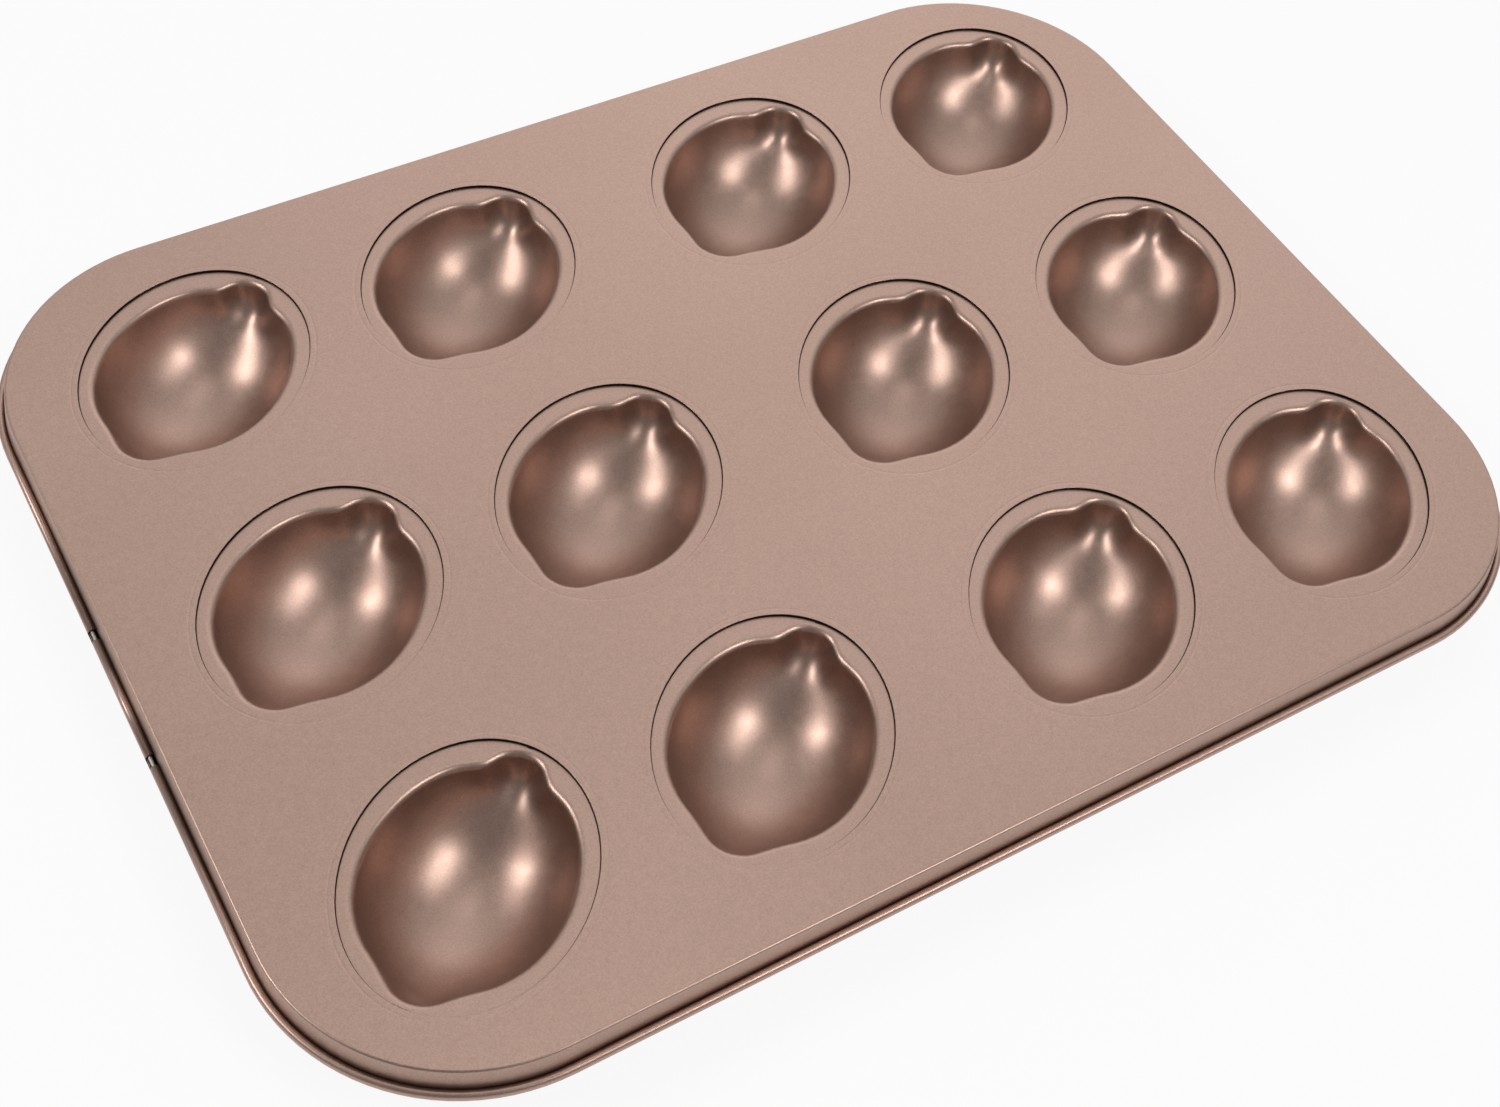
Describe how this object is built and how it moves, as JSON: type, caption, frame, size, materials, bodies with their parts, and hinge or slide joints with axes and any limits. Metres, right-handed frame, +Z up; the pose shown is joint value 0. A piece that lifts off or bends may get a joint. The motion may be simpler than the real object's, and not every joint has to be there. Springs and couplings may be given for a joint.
{
  "type": "cake pan with lemon-shaped cavities",
  "caption": "Flat steel baking pan with rows of lemon-shaped cavities in shallow oval recesses, a curled rim and a wire inside the curl.",
  "frame": {"origin": "On the surface that the pan stands on, under the middle of the pan.", "axes": "X along the long side, Y along the short side towards the back, Z up out of the cavities."},
  "size_m": [0.3486, 0.2658, 0.0233],
  "materials": {
    "coated_sheet": "champagne non-stick coating with a fine metallic grain, half matt",
    "bare_wire": "drawn steel wire, dull and dark"
  },
  "bodies": {
    "root": {"deck_plate": "coated_sheet", "curled_rim": "coated_sheet", "lemon_cavity_1_1": "coated_sheet", "lemon_cavity_1_2": "coated_sheet", "lemon_cavity_1_3": "coated_sheet", "lemon_cavity_2_1": "coated_sheet", "lemon_cavity_2_2": "coated_sheet", "lemon_cavity_2_3": "coated_sheet", "lemon_cavity_3_1": "coated_sheet", "lemon_cavity_3_2": "coated_sheet", "lemon_cavity_3_3": "coated_sheet", "lemon_cavity_4_1": "coated_sheet", "lemon_cavity_4_2": "coated_sheet", "lemon_cavity_4_3": "coated_sheet", "rim_wire": "bare_wire"}
  },
  "joints": []
}
